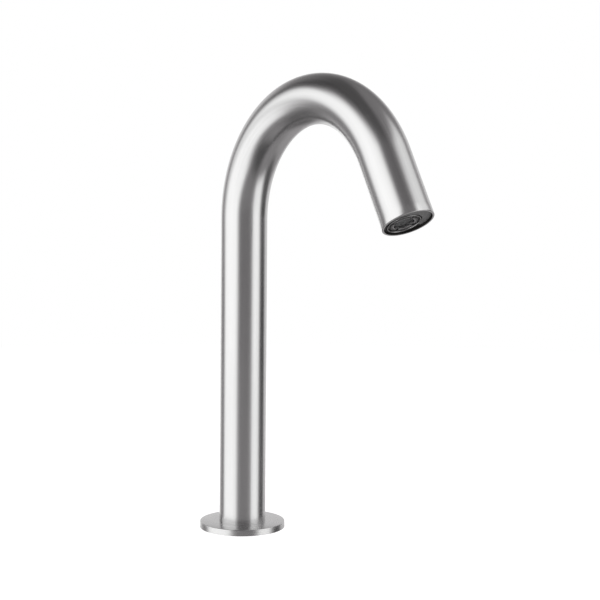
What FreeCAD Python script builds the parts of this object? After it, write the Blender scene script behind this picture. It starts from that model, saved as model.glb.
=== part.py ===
# Deck-mounted sensor tap: a bent stainless tube on a round base flange, with the sensor and the aerator side by
# side in its outlet. Millimetres, +Z up. The origin is the tube's axis at the worktop: the flange stands on z = 0
# and the threaded shank hangs below it. The spout points along -Y.
import FreeCAD, Part
import math
import os

import Sketcher
from FreeCAD import Placement, Rotation, Vector

# ---------------------------------------------------------------- sizes
# Every size that can be set by itself, written once: name, millimetres (or degrees), what it is.
SIZES = [
    # spout
    ("tube_diameter", 28.0, "outside of the spout tube"),
    ("tube_wall", 1.2, "wall of the spout tube"),
    ("rise", 187.0, "worktop to the start of the bend"),
    ("bend_radius", 66.5, "centreline radius of the bend"),
    ("bend_angle", 152.0, "degrees through which the tube is bent"),
    ("tail_length", 38.5, "straight tube after the bend"),
    ("tube_end_chamfer", 0.3, "edge break round the outlet end of the tube"),
    # base flange and its gasket
    ("flange_diameter", 51.5, "base flange"),
    ("flange_thickness", 3.7, "base flange"),
    ("flange_chamfer", 0.35, "edge break on the flange's upper rim"),
    ("register_depth", 2.0, "recess in the flange that the foot of the tube stands in"),
    ("gasket_margin", 3.25, "flange outside its gasket, on the radius"),
    ("gasket_width", 3.5, "groove and gasket under the flange"),
    ("gasket_thickness", 1.5, "groove and gasket under the flange"),
    # shank and clamp below the worktop
    ("foot_ledge", 1.0, "tube wider than the shank's thread, on the radius"),
    ("shank_wall", 2.2, "wall of the threaded shank"),
    ("shank_below_deck", 55.0, "shank length below the worktop"),
    ("shank_socket_length", 20.0, "upper end of the shank, brazed inside the tube"),
    ("deck_thickness", 20.0, "worktop that is clamped at rest"),
    ("washer_width", 9.0, "both clamp washers reach beyond the shank, on the radius"),
    ("washer_bore_clearance", 0.5, "washers round the shank, on the radius"),
    ("rubber_washer_thickness", 3.0, "upper clamp washer"),
    ("steel_washer_thickness", 2.0, "lower clamp washer"),
    ("nut_wall", 5.0, "fixing nut, from the shank to a flat"),
    ("nut_height", 9.0, "fixing nut"),
    ("nut_chamfer", 1.2, "height of the nut's corner chamfers"),
    # water inlet and cable exit at the foot of the shank
    ("inlet_plug_height", 20.0, "inlet plug with its lip"),
    ("inlet_lip_thickness", 2.0, "lip under the end of the shank"),
    ("inlet_lip_step", 1.0, "lip smaller than the shank's thread, on the radius"),
    ("inlet_thread_radius", 4.5, "internal M10 x 1 thread, minor radius"),
    ("inlet_thread_depth", 9.0, "internal M10 x 1 thread"),
    ("inlet_web", 1.5, "metal between the thread and the pipe socket"),
    ("cable_slot_width", 5.0, "slot in the side of the inlet plug"),
    ("cable_slot_margin", 1.15, "rubber under the cable in that slot"),
    ("grommet_height", 12.0, "rubber grommet in the slot"),
    # water pipe and cable inside the tube
    ("pipe_diameter", 8.0, "inner water pipe"),
    ("pipe_bore", 5.5, "inner water pipe"),
    ("pipe_end_gap", 0.5, "pipe end short of its socket's floor"),
    ("seal_section_radius", 0.63, "section of the two pipe seals"),
    ("seal_from_mouth", 5.0, "pipe seal from the mouth of its socket"),
    ("cable_diameter", 2.8, "sensor cable"),
    # nozzle body in the outlet
    ("window_recess", 1.3, "sensor window back from the end of the tube"),
    ("window_thickness", 1.6, "sensor window"),
    ("nozzle_length", 28.0, "nozzle body behind the window"),
    ("nozzle_wall", 0.5, "nozzle body outside the aerator's pocket, at its thinnest"),
    ("pipe_socket_depth", 11.5, "socket for the pipe in the nozzle body"),
    ("ring_groove_back", 27.5, "centre of the sealing ring, back from the end of the tube"),
    ("ring_section_radius", 0.9, "section of the nozzle's sealing ring"),
    ("screw_back", 18.0, "retaining screw, back from the end of the tube"),
    ("screw_diameter", 3.0, "retaining screw"),
    ("screw_length", 3.4, "retaining screw"),
    ("screw_socket_flats", 1.5, "hexagon socket of the retaining screw"),
    ("screw_socket_depth", 1.3, "hexagon socket of the retaining screw"),
    # sensor
    ("sensor_width", 9.0, "sensor housing"),
    ("sensor_margin", 1.75, "nozzle body outside the sensor housing"),
    ("sensor_web", 0.55, "nozzle body between the sensor and the aerator"),
    ("sensor_depth", 3.9, "sensor housing, across the tube"),
    ("sensor_length", 21.5, "sensor housing"),
    ("sensor_wall", 0.5, "wall of the sensor housing"),
    ("board_thickness", 0.8, "circuit board"),
    ("board_length", 15.0, "circuit board"),
    ("eye_diameter", 2.0, "infrared emitter and receiver"),
    ("eye_length", 3.0, "infrared emitter and receiver"),
    ("eye_spacing", 4.4, "between the emitter and the receiver"),
    ("eye_gap", 0.4, "emitter and receiver behind the window"),
    ("eye_dome", 0.6, "rounding of their front ends"),
    ("window_split", 3.0, "window's lower edge, below the tube's axis"),
    # aerator
    ("aerator_recess", 0.9, "aerator back from the end of the tube"),
    ("aerator_length", 9.0, "aerator housing"),
    ("aerator_lip", 0.6, "thin lip round the front of the aerator"),
    ("key_groove_width", 1.3, "groove inside the lip, for the aerator key"),
    ("key_groove_depth", 1.2, "groove inside the lip, for the aerator key"),
    ("inner_ring_recess", 0.3, "inner ring behind the lip"),
    ("inner_ring_width", 1.7, "inner ring round the screen"),
    ("inner_ring_depth", 1.5, "inner ring round the screen"),
    ("aerator_wall", 1.1, "wall of the aerator housing"),
    ("key_slot_width", 2.0, "slots across the inner ring, for the aerator key"),
    ("key_slot_depth", 0.7, "slots across the inner ring, for the aerator key"),
    ("gasket_ring_thickness", 1.2, "aerator gasket"),
    ("gasket_ring_width", 2.4, "aerator gasket"),
    ("screen_thickness", 0.5, "aerator outlet screen"),
    ("screen_hole", 1.1, "holes in the outlet screen"),
    ("screen_edge", 0.8, "inner ring's bore beyond the screen's last ring of holes"),
    ("jet_disc_gap", 2.2, "jet disc behind the screen"),
    ("jet_disc_thickness", 1.8, "jet disc"),
    ("jet_skirt", 0.8, "wall of the jet disc's skirt"),
    ("jet_hole", 1.0, "holes in the jet disc"),
    ("jet_margin", 1.45, "jet disc's skirt beyond the circle of its holes"),
    ("regulator_margin", 1.6, "that circle beyond the flow regulator"),
    ("regulator_height", 1.4, "flow regulator"),
    ("regulator_pin_radius", 1.2, "pin of the jet disc that centres the regulator"),
    ("strainer_thickness", 0.5, "inlet strainer at the back of the aerator"),
    # fits
    ("insert_clearance", 0.05, "turned parts in their bores, on the radius"),
    ("thread_clearance", 0.15, "threads that turn in each other, on the radius"),
    ("window_gap", 0.45, "gap round the aerator in the window, on the radius"),
    ("pocket_clearance", 0.1, "sensor housing in its pocket"),
]

KEY_SLOTS = 4
JET_HOLES = 12
SCREEN_RINGS = 3
SCREEN_HOLES_PER_RING = 6


class Size:
    """A number together with the expression that gives it from the sheet."""

    def __init__(self, value, text):
        self.value = float(value)
        self.text = text

    def _join(self, other, sign, value, swap=False):
        other_text = other.text if isinstance(other, Size) else repr(other)
        first, second = (other_text, self.text) if swap else (self.text, other_text)
        return Size(value, "({} {} {})".format(first, sign, second))

    def __add__(self, other):
        return self._join(other, "+", self.value + number(other))

    def __radd__(self, other):
        return self._join(other, "+", number(other) + self.value, swap=True)

    def __sub__(self, other):
        return self._join(other, "-", self.value - number(other))

    def __rsub__(self, other):
        return self._join(other, "-", number(other) - self.value, swap=True)

    def __mul__(self, other):
        return self._join(other, "*", self.value * number(other))

    def __rmul__(self, other):
        return self._join(other, "*", number(other) * self.value, swap=True)

    def __truediv__(self, other):
        return self._join(other, "/", self.value / number(other))

    def __neg__(self):
        return Size(-self.value, "(0 - {})".format(self.text))


def number(value):
    return value.value if isinstance(value, Size) else float(value)


def sine(angle):
    return Size(math.sin(math.radians(angle.value)), "sin({} * 1 deg)".format(angle.text))


def cosine(angle):
    return Size(math.cos(math.radians(angle.value)), "cos({} * 1 deg)".format(angle.text))


doc = FreeCAD.newDocument("sensor_tap")
sheet = doc.addObject("Spreadsheet::Sheet", "sizes")
size = {}
for row, (name, value, note) in enumerate(SIZES, start=1):
    sheet.set("A{}".format(row), name)
    sheet.set("B{}".format(row), str(value))
    sheet.set("C{}".format(row), note)
    sheet.setAlias("B{}".format(row), name)
    size[name] = Size(value, "sizes." + name)
doc.recompute()


# ---------------------------------------------------------------- helpers
def new_body(label, place=None):
    """An empty body, upright at the origin or turned into the outlet.

    At a place in the outlet, z = 0 is the end of the tube, -z goes into it and +y is the sensor's side.
    """
    body = doc.addObject("PartDesign::Body", label)
    body.Label = label
    if place is not None:
        y, z = place
        body.Placement = Placement(Vector(), Rotation(Vector(1, 0, 0), bend_angle.value))
        body.setExpression("Placement.Base.y", y.text)
        body.setExpression("Placement.Base.z", z.text)
        body.setExpression("Placement.Rotation.Angle", bend_angle.text)
    return body


def new_sketch(body, role, height=None, name="Sketch"):
    sketch = body.newObject("Sketcher::SketchObject", name)
    support = next(item for item in body.Origin.OriginFeatures if item.Role == role)
    sketch.AttachmentSupport = (support, [""])
    sketch.MapMode = "FlatFace"
    if height is not None:
        sketch.setExpression("AttachmentOffset.Base.z", height.text)
    return sketch


def bind(sketch, kind, arguments, value):
    """Add one dimension to a sketch and tie it to the sheet."""
    index = sketch.addConstraint(Sketcher.Constraint(kind, *arguments, number(value)))
    if isinstance(value, Size):
        sketch.setExpression("Constraints[{}]".format(index), value.text)


def hold(sketch, geometry, point, x, y):
    """Fix one point of a sketch at x, y from its origin; a plain 0 puts it on the axis."""
    for kind, value, axis in (("DistanceX", x, -2), ("DistanceY", y, -1)):
        if isinstance(value, Size):
            bind(sketch, kind, (-1, 1, geometry, point), value)
        else:
            sketch.addConstraint(Sketcher.Constraint("PointOnObject", geometry, point, axis))


def outline(sketch, corners):
    """A closed outline of straight edges."""
    first = sketch.GeometryCount
    spots = [Vector(number(x), number(y), 0) for x, y in corners]
    count = len(spots)
    for index in range(count):
        sketch.addGeometry(Part.LineSegment(spots[index], spots[(index + 1) % count]), False)
    for index in range(count):
        sketch.addConstraint(Sketcher.Constraint("Coincident", first + index, 2, first + (index + 1) % count, 1))
    for index, (x, y) in enumerate(corners):
        hold(sketch, first + index, 1, x, y)


def circle(sketch, x, y, radius):
    geometry = Part.Circle(Vector(number(x), number(y), 0), Vector(0, 0, 1), number(radius))
    index = sketch.addGeometry(geometry, False)
    hold(sketch, index, 3, x, y)
    bind(sketch, "Radius", (index,), radius)


def rectangle(sketch, x0, x1, y0, y1):
    outline(sketch, [(x0, y0), (x1, y0), (x1, y1), (x0, y1)])


def revolve(body, sketch, cut=False):
    """Turn a profile, drawn in radius and height, once round the z axis."""
    feature = body.newObject("PartDesign::Groove" if cut else "PartDesign::Revolution", "Turn")
    feature.Profile = sketch
    feature.ReferenceAxis = (sketch, ["V_Axis"])
    feature.Angle = 360.0
    sketch.Visibility = False
    return feature


def pad(body, sketch, length):
    feature = body.newObject("PartDesign::Pad", "Pad")
    feature.Profile = sketch
    feature.setExpression("Length", length.text)
    return feature


def pocket(body, sketch, depth, upward=False):
    """Cut below the sketch, or above it."""
    feature = body.newObject("PartDesign::Pocket", "Pocket")
    feature.Profile = sketch
    feature.setExpression("Length", depth.text)
    feature.Reversed = upward
    return feature


def around(body, sketch, feature, count):
    """Repeat a feature round the z axis."""
    pattern = body.newObject("PartDesign::PolarPattern", "Around")
    pattern.Originals = [feature]
    pattern.Axis = (sketch, ["N_Axis"])
    pattern.Angle = 360.0
    pattern.Occurrences = count
    body.Tip = pattern
    return pattern


def turned(label, corners, place=None):
    """A turned piece, from its profile in radius and height."""
    body = new_body(label, place)
    sketch = new_sketch(body, "XZ_Plane")
    outline(sketch, corners)
    revolve(body, sketch)
    return body


def washer(label, inner, outer, low, high, place=None):
    return turned(label, [(inner, low), (outer, low), (outer, high), (inner, high)], place)


def bent_rod(label, offset, outer, inner, start, tail):
    """A rod or tube that follows the spout, its centre moved by offset towards the outside of the bend."""
    body = new_body(label)
    route = new_sketch(body, "YZ_Plane", name="Route")
    centre = Vector(-bend_radius.value, rise.value, 0)
    reach = bend_radius + offset
    low = Vector(number(offset), start.value, 0)
    bend_start = Vector(number(offset), rise.value, 0)
    end_x = reach * cosine(bend_angle) - bend_radius
    end_y = rise + reach * sine(bend_angle)
    tip_x = end_x - tail * sine(bend_angle)
    tip_y = end_y + tail * cosine(bend_angle)
    route.addGeometry(Part.LineSegment(low, bend_start), False)
    bend = Part.Circle(centre, Vector(0, 0, 1), reach.value)
    route.addGeometry(Part.ArcOfCircle(bend, 0.0, math.radians(bend_angle.value)), False)
    bend_end = Vector(end_x.value, end_y.value, 0)
    route.addGeometry(Part.LineSegment(bend_end, Vector(tip_x.value, tip_y.value, 0)), False)
    hold(route, 0, 1, offset, start)
    hold(route, 0, 2, offset, rise)
    hold(route, 1, 3, -bend_radius, rise)
    route.addConstraint(Sketcher.Constraint("Coincident", 0, 2, 1, 1))
    route.addConstraint(Sketcher.Constraint("Coincident", 1, 2, 2, 1))
    bind(route, "DistanceY", (-1, 1, 1, 2), end_y)
    hold(route, 2, 2, tip_x, tip_y)
    section = new_sketch(body, "XY_Plane", start, name="Section")
    circle(section, 0, offset, outer)
    if inner is not None:
        circle(section, 0, offset, inner)
    pipe = body.newObject("PartDesign::AdditivePipe", "Bend")
    pipe.Profile = section
    pipe.Spine = route
    return body


# ---------------------------------------------------------------- shared places
tube_radius = size["tube_diameter"] / 2
tube_bore = tube_radius - size["tube_wall"]
rise = size["rise"]
bend_radius = size["bend_radius"]
bend_angle = size["bend_angle"]
tail_length = size["tail_length"]
outlet_y = bend_radius * cosine(bend_angle) - bend_radius - tail_length * sine(bend_angle)
outlet_z = rise + bend_radius * sine(bend_angle) + tail_length * cosine(bend_angle)
outlet = (outlet_y, outlet_z)
insert_clearance = size["insert_clearance"]
thread_clearance = size["thread_clearance"]

# foot, from the worktop at z = 0
tube_foot = size["flange_thickness"] - size["register_depth"]
flange_radius = size["flange_diameter"] / 2
gasket_outer = flange_radius - size["gasket_margin"]
gasket_inner = gasket_outer - size["gasket_width"]
shank_radius = tube_radius - size["foot_ledge"]
shank_bore = shank_radius - size["shank_wall"]
washer_bore = shank_radius + size["washer_bore_clearance"]
washer_radius = shank_radius + size["washer_width"]
shank_end = -size["shank_below_deck"]
clamp_top = -size["deck_thickness"]
steel_top = clamp_top - size["rubber_washer_thickness"]
nut_top = steel_top - size["steel_washer_thickness"]
plug_foot = shank_end - size["inlet_lip_thickness"]
plug_top = plug_foot + size["inlet_plug_height"]
socket_radius = size["pipe_diameter"] / 2 + insert_clearance
seal_groove_radius = size["pipe_diameter"] / 2 + size["seal_section_radius"] * 2
lower_socket_floor = plug_foot + size["inlet_thread_depth"] + size["inlet_web"]

# across the outlet, from the tube's axis: the aerator takes all the room that the sensor leaves
nozzle_radius = tube_bore - insert_clearance
sensor_top = nozzle_radius - size["sensor_margin"]
sensor_floor = sensor_top - size["sensor_depth"]
aerator_pocket_top = sensor_floor - size["pocket_clearance"] - size["sensor_web"]
aerator_pocket_bottom = size["nozzle_wall"] - nozzle_radius
aerator_pocket_radius = (aerator_pocket_top - aerator_pocket_bottom) / 2
aerator_radius = aerator_pocket_radius - thread_clearance
water_offset = (aerator_pocket_top + aerator_pocket_bottom) / 2
cable_offset = (sensor_top + sensor_floor) / 2
cable_radius = size["cable_diameter"] / 2

# along the outlet, from the end of the tube at z = 0, inwards
window_front = -size["window_recess"]
window_back = window_front - size["window_thickness"]
nozzle_back = window_back - size["nozzle_length"]
aerator_front = -size["aerator_recess"]
aerator_back = aerator_front - size["aerator_length"]
aerator_pocket_floor = aerator_back - size["gasket_ring_thickness"]
upper_socket_floor = nozzle_back + size["pipe_socket_depth"]
cable_slot_floor = cable_offset - cable_radius - size["cable_slot_margin"]
screen_front = aerator_front - size["inner_ring_recess"] - size["inner_ring_depth"]
screen_back = screen_front - size["screen_thickness"]
jet_front = screen_back - size["jet_disc_gap"]
jet_back = jet_front - size["jet_disc_thickness"]
strainer_front = aerator_back + size["strainer_thickness"]
cartridge_bore = aerator_radius - size["aerator_wall"]
cartridge_radius = cartridge_bore - insert_clearance
inner_ring_bore = aerator_radius - size["aerator_lip"] - size["key_groove_width"] - size["inner_ring_width"]
screen_pitch = (inner_ring_bore - size["screen_edge"]) / SCREEN_RINGS
jet_circle_radius = cartridge_radius - size["jet_skirt"] - size["jet_margin"]
regulator_radius = jet_circle_radius - size["regulator_margin"]
waterway = (outlet_y + water_offset * cosine(bend_angle), outlet_z + water_offset * sine(bend_angle))
sensor_back = window_back - size["sensor_length"]
board_floor = sensor_floor + size["sensor_wall"]
board_top = board_floor + size["board_thickness"]
board_front = window_back - size["sensor_wall"]
board_back = board_front - size["board_length"]
screw_tip = tube_radius - size["screw_length"]


# ---------------------------------------------------------------- spout and foot
def spout_tube():
    body = bent_rod("spout_tube", 0, tube_radius, tube_bore, tube_foot, tail_length)
    hole = body.newObject("PartDesign::SubtractiveCylinder", "ScrewHole")
    hole.setExpression("Radius", (size["screw_diameter"] / 2 + insert_clearance).text)
    hole.setExpression("Height", size["tube_diameter"].text)
    hole.Placement = Placement(Vector(), Rotation(Vector(1, 0, 0), bend_angle.value + 90))
    hole.setExpression("Placement.Base.y", (outlet_y + size["screw_back"] * sine(bend_angle)).text)
    hole.setExpression("Placement.Base.z", (outlet_z - size["screw_back"] * cosine(bend_angle)).text)
    hole.setExpression("Placement.Rotation.Angle", "({}) * 1 deg + 90 deg".format(bend_angle.text))
    doc.recompute()
    rims = []
    centre = Vector(0, outlet_y.value, outlet_z.value)
    for index, edge in enumerate(hole.Shape.Edges, start=1):
        if isinstance(edge.Curve, Part.Circle) and edge.Curve.Center.distanceToPoint(centre) < 0.01:
            rims.append("Edge{}".format(index))
    chamfer = body.newObject("PartDesign::Chamfer", "EndChamfer")
    chamfer.Base = (hole, rims)
    chamfer.setExpression("Size", size["tube_end_chamfer"].text)
    return body


def base_flange():
    edge = size["flange_chamfer"]
    top = size["flange_thickness"]
    inner = shank_radius + thread_clearance
    seat = tube_radius + insert_clearance
    groove_top = size["gasket_thickness"]
    return turned("base_flange", [
        (inner, 0), (gasket_inner, 0), (gasket_inner, groove_top), (gasket_outer, groove_top), (gasket_outer, 0),
        (flange_radius, 0), (flange_radius, top - edge), (flange_radius - edge, top),
        (seat, top), (seat, tube_foot), (inner, tube_foot)])


def threaded_shank():
    upper = tube_bore - insert_clearance
    top = tube_foot + size["shank_socket_length"]
    return turned("threaded_shank", [
        (shank_bore, shank_end), (shank_radius, shank_end), (shank_radius, tube_foot),
        (upper, tube_foot), (upper, top), (shank_bore, top)])


def fixing_nut():
    body = new_body("fixing_nut")
    height = size["nut_height"]
    half = shank_radius + size["nut_wall"]
    corner = half * (2 / math.sqrt(3))
    nut_foot = nut_top - height
    sketch = new_sketch(body, "XY_Plane", nut_foot)
    outline(sketch, [
        (corner, 0), (corner * 0.5, half), (-corner * 0.5, half),
        (-corner, 0), (-corner * 0.5, -half), (corner * 0.5, -half)])
    circle(sketch, 0, 0, shank_radius + thread_clearance)
    pad(body, sketch, height)
    corners = new_sketch(body, "XZ_Plane")
    beyond = corner + size["nut_chamfer"]
    rise_at_beyond = size["nut_chamfer"] * 2
    outline(corners, [(half, nut_foot), (beyond, nut_foot), (beyond, nut_foot + rise_at_beyond)])
    outline(corners, [(half, nut_top), (beyond, nut_top), (beyond, nut_top - rise_at_beyond)])
    revolve(body, corners, cut=True)
    return body


def inlet_plug():
    lip = shank_radius - size["inlet_lip_step"]
    neck = shank_bore - insert_clearance
    body = turned("inlet_plug", [
        (0, plug_foot), (lip, plug_foot), (lip, shank_end), (neck, shank_end), (neck, plug_top), (0, plug_top)])
    holes = [
        (plug_foot, size["inlet_thread_radius"], size["inlet_thread_depth"]),
        (plug_foot, size["pipe_bore"] / 2, size["inlet_plug_height"]),
        (lower_socket_floor, socket_radius, size["inlet_plug_height"]),
    ]
    for height, radius, depth in holes:
        sketch = new_sketch(body, "XY_Plane", height)
        circle(sketch, 0, water_offset, radius)
        pocket(body, sketch, depth, upward=True)
    slot = new_sketch(body, "XY_Plane", plug_foot)
    half = size["cable_slot_width"] / 2
    rectangle(slot, -half, half, cable_slot_floor, cable_slot_floor + lip)
    pocket(body, slot, size["inlet_plug_height"], upward=True)
    groove = new_sketch(body, "XY_Plane", plug_top - size["seal_from_mouth"] - size["seal_section_radius"])
    circle(groove, 0, water_offset, seal_groove_radius)
    pocket(body, groove, size["seal_section_radius"] * 2, upward=True)
    return body


def cable_grommet():
    """Fills the slot in the plug round the cable."""
    body = new_body("cable_grommet")
    height = size["grommet_height"]
    outer = shank_bore - insert_clearance
    side = size["cable_slot_width"] / 2
    disc = new_sketch(body, "XY_Plane", plug_foot)
    circle(disc, 0, 0, outer)
    pad(body, disc, height)
    around_slot = new_sketch(body, "XY_Plane", plug_foot)
    beyond = outer * 2
    outline(around_slot, [
        (-beyond, -beyond), (beyond, -beyond), (beyond, beyond), (side, beyond),
        (side, cable_slot_floor), (-side, cable_slot_floor), (-side, beyond), (-beyond, beyond)])
    pocket(body, around_slot, height, upward=True)
    hole = new_sketch(body, "XY_Plane", plug_foot)
    circle(hole, 0, cable_offset, cable_radius)
    pocket(body, hole, height, upward=True)
    return body


# ---------------------------------------------------------------- inside the tube
def pipe_seals():
    """The two sealing rings of the water pipe, one in each socket."""
    tube = size["seal_section_radius"]
    lower = plug_top - size["seal_from_mouth"]
    upper = nozzle_back + size["seal_from_mouth"]
    rings = []
    for name, height, place in (("lower_seal", lower, None), ("upper_seal", upper, waterway)):
        ring = doc.addObject("Part::Torus", name)
        ring.setExpression("Radius1", (seal_groove_radius - tube).text)
        ring.setExpression("Radius2", tube.text)
        if place is None:
            ring.setExpression("Placement.Base.y", water_offset.text)
            ring.setExpression("Placement.Base.z", height.text)
        else:
            y, z = place
            ring.Placement = Placement(Vector(), Rotation(Vector(1, 0, 0), bend_angle.value))
            ring.setExpression("Placement.Base.y", (y - height * sine(bend_angle)).text)
            ring.setExpression("Placement.Base.z", (z + height * cosine(bend_angle)).text)
            ring.setExpression("Placement.Rotation.Angle", bend_angle.text)
        rings.append(ring)
    pair = doc.addObject("Part::Compound", "pipe_seals")
    pair.Links = rings
    pair.Label = "pipe_seals"
    return pair


def nozzle_body():
    """Fills the end of the tube and holds the aerator, the sensor, the pipe and the cable."""
    ring = size["ring_section_radius"]
    groove = nozzle_radius - ring * 2
    ring_low = -size["ring_groove_back"] - ring
    ring_high = ring_low + ring * 2
    body = turned("nozzle_body", [
        (0, nozzle_back), (nozzle_radius, nozzle_back), (nozzle_radius, ring_low), (groove, ring_low),
        (groove, ring_high), (nozzle_radius, ring_high), (nozzle_radius, window_front), (0, window_front)],
        outlet)
    seat = new_sketch(body, "XY_Plane", window_front)
    rectangle(seat, -tube_radius, tube_radius, -size["window_split"], tube_radius)
    pocket(body, seat, size["window_thickness"])
    round_holes = [
        (window_front, water_offset, aerator_pocket_radius, window_front - aerator_pocket_floor),
        (aerator_pocket_floor, water_offset, size["pipe_bore"] / 2, aerator_pocket_floor - nozzle_back),
        (upper_socket_floor, water_offset, socket_radius, size["pipe_socket_depth"]),
        (nozzle_back + size["seal_from_mouth"] + size["seal_section_radius"], water_offset,
         seal_groove_radius, size["seal_section_radius"] * 2),
        (sensor_back, cable_offset, cable_radius + insert_clearance, sensor_back - nozzle_back),
    ]
    for height, offset, radius, depth in round_holes:
        sketch = new_sketch(body, "XY_Plane", height)
        circle(sketch, 0, offset, radius)
        pocket(body, sketch, depth)
    gap = size["pocket_clearance"]
    half = size["sensor_width"] / 2 + gap
    bay = new_sketch(body, "XY_Plane", window_back)
    rectangle(bay, -half, half, sensor_floor - gap, sensor_top + gap)
    pocket(body, bay, size["sensor_length"])
    hole = body.newObject("PartDesign::SubtractiveCylinder", "ScrewHole")
    hole.setExpression("Radius", (size["screw_diameter"] / 2).text)
    hole.setExpression("Height", size["tube_diameter"].text)
    hole.Placement = Placement(Vector(), Rotation(Vector(1, 0, 0), 90))
    hole.setExpression("Placement.Base.y", (-screw_tip).text)
    hole.setExpression("Placement.Base.z", (-size["screw_back"]).text)
    return body


def nozzle_ring():
    body = new_body("nozzle_ring", outlet)
    sketch = new_sketch(body, "XZ_Plane")
    section = size["ring_section_radius"]
    circle(sketch, tube_bore - section, -size["ring_groove_back"], section)
    revolve(body, sketch)
    return body


def retaining_screw():
    """Grub screw through the inner side of the tail, flush with the tube."""
    body = new_body("retaining_screw", outlet)
    screw = new_sketch(body, "XZ_Plane", screw_tip)
    circle(screw, 0, -size["screw_back"], size["screw_diameter"] / 2)
    pad(body, screw, size["screw_length"])
    key = new_sketch(body, "XZ_Plane", screw_tip + size["screw_length"])
    half = size["screw_socket_flats"] / 2
    corner = half * (2 / math.sqrt(3))
    level = -size["screw_back"]
    outline(key, [
        (corner, level), (corner * 0.5, level + half), (-corner * 0.5, level + half),
        (-corner, level), (-corner * 0.5, level - half), (corner * 0.5, level - half)])
    pocket(body, key, size["screw_socket_depth"])
    return body


# ---------------------------------------------------------------- sensor
def sensor_window():
    """Dark crescent beside the aerator, on the outer side of the outlet."""
    body = new_body("sensor_window", outlet)
    thickness = size["window_thickness"]
    face = new_sketch(body, "XY_Plane", window_back)
    circle(face, 0, 0, nozzle_radius)
    pad(body, face, thickness)
    opening = new_sketch(body, "XY_Plane", window_back)
    circle(opening, 0, water_offset, aerator_radius + size["window_gap"])
    pocket(body, opening, thickness, upward=True)
    lower = new_sketch(body, "XY_Plane", window_back)
    rectangle(lower, -tube_radius, tube_radius, -tube_radius, -size["window_split"])
    pocket(body, lower, thickness, upward=True)
    return body


def sensor_housing():
    body = new_body("sensor_housing", outlet)
    wall = size["sensor_wall"]
    half = size["sensor_width"] / 2
    length = size["sensor_length"]
    block = new_sketch(body, "XY_Plane", sensor_back)
    rectangle(block, -half, half, sensor_floor, sensor_top)
    pad(body, block, length)
    inside = new_sketch(body, "XY_Plane", sensor_back + wall)
    rectangle(inside, wall - half, half - wall, board_floor, sensor_top - wall)
    pocket(body, inside, length, upward=True)
    exit_hole = new_sketch(body, "XY_Plane", sensor_back)
    circle(exit_hole, 0, cable_offset, cable_radius + insert_clearance)
    pocket(body, exit_hole, wall, upward=True)
    return body


def sensor_board():
    body = new_body("sensor_board", outlet)
    half = size["sensor_width"] / 2 - size["sensor_wall"] - size["pocket_clearance"]
    sketch = new_sketch(body, "XY_Plane", board_back)
    rectangle(sketch, -half, half, board_floor, board_top)
    pad(body, sketch, size["board_length"])
    return body


def infrared_eye(label, side):
    body = new_body(label, outlet)
    radius = size["eye_diameter"] / 2
    front = window_back - size["eye_gap"]
    sketch = new_sketch(body, "XY_Plane", front - size["eye_length"])
    circle(sketch, size["eye_spacing"] * side / 2, board_top + radius, radius)
    cylinder = pad(body, sketch, size["eye_length"])
    doc.recompute()
    rims = []
    for index, edge in enumerate(cylinder.Shape.Edges, start=1):
        if isinstance(edge.Curve, Part.Circle) and abs(edge.Curve.Center.z - front.value) < 0.01:
            rims.append("Edge{}".format(index))
    dome = body.newObject("PartDesign::Fillet", "Dome")
    dome.Base = (cylinder, rims)
    dome.setExpression("Radius", size["eye_dome"].text)
    return body


# ---------------------------------------------------------------- aerator
def aerator_housing():
    lip = aerator_radius - size["aerator_lip"]
    ring = lip - size["key_groove_width"]
    floor = aerator_front - size["key_groove_depth"]
    ring_front = aerator_front - size["inner_ring_recess"]
    body = turned("aerator_housing", [
        (inner_ring_bore, screen_front), (cartridge_bore, screen_front), (cartridge_bore, aerator_back),
        (aerator_radius, aerator_back), (aerator_radius, aerator_front), (lip, aerator_front),
        (lip, floor), (ring, floor), (ring, ring_front), (inner_ring_bore, ring_front)],
        waterway)
    half = size["key_slot_width"] / 2
    slot = new_sketch(body, "XY_Plane", ring_front)
    rectangle(slot, inner_ring_bore - half, lip, -half, half)
    cut = pocket(body, slot, size["key_slot_depth"])
    around(body, slot, cut, KEY_SLOTS)
    return body


def holed_disc(label, outer, low, thickness):
    """A disc with a centre hole and rings of holes round it."""
    body = new_body(label, waterway)
    disc = new_sketch(body, "XY_Plane", low)
    circle(disc, 0, 0, outer)
    circle(disc, 0, 0, size["screen_hole"] / 2)
    pad(body, disc, thickness)
    for ring in range(1, SCREEN_RINGS + 1):
        sketch = new_sketch(body, "XY_Plane", low)
        circle(sketch, screen_pitch * ring, 0, size["screen_hole"] / 2)
        hole = pocket(body, sketch, thickness, upward=True)
        around(body, sketch, hole, SCREEN_HOLES_PER_RING * ring)
    return body


def jet_disc():
    """Plate with a ring of jets, between two skirts that space it from the screen and the strainer."""
    skirt = cartridge_radius - size["jet_skirt"]
    pin = size["regulator_pin_radius"]
    pin_foot = jet_back - size["regulator_height"]
    body = turned("jet_disc", [
        (0, jet_front), (skirt, jet_front), (skirt, screen_back), (cartridge_radius, screen_back),
        (cartridge_radius, strainer_front), (skirt, strainer_front), (skirt, jet_back), (pin, jet_back),
        (pin, pin_foot), (0, pin_foot)],
        waterway)
    sketch = new_sketch(body, "XY_Plane", jet_back)
    circle(sketch, jet_circle_radius, 0, size["jet_hole"] / 2)
    hole = pocket(body, sketch, size["jet_disc_thickness"], upward=True)
    around(body, sketch, hole, JET_HOLES)
    return body


pipe_start = lower_socket_floor + size["pipe_end_gap"]
pipe_tail = tail_length + upper_socket_floor - size["pipe_end_gap"]
cable_tail = tail_length + board_back - size["pipe_end_gap"]

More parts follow.
